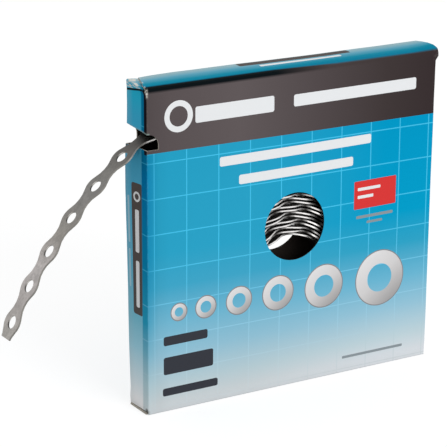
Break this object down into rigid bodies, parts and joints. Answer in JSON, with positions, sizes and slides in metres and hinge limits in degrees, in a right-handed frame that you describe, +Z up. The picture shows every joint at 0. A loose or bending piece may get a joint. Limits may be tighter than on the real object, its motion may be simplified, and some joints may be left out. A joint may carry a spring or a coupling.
{
  "type": "perforated steel strap in a dispenser carton",
  "caption": "Coil of galvanised perforated steel strap with scalloped edges in a flat printed carton, its free end fed out of a side slot.",
  "frame": {"origin": "centre of the carton's bottom face", "axes": "+X right along the printed front, which faces -Y, and +Z up"},
  "size_m": [0.2214, 0.017, 0.1532],
  "materials": {
    "galvanised_steel": "dull zinc coat",
    "printed_board": "printed and varnished folding boxboard"
  },
  "bodies": {
    "root": {"strap": "galvanised_steel", "carton": "printed_board"}
  },
  "joints": []
}
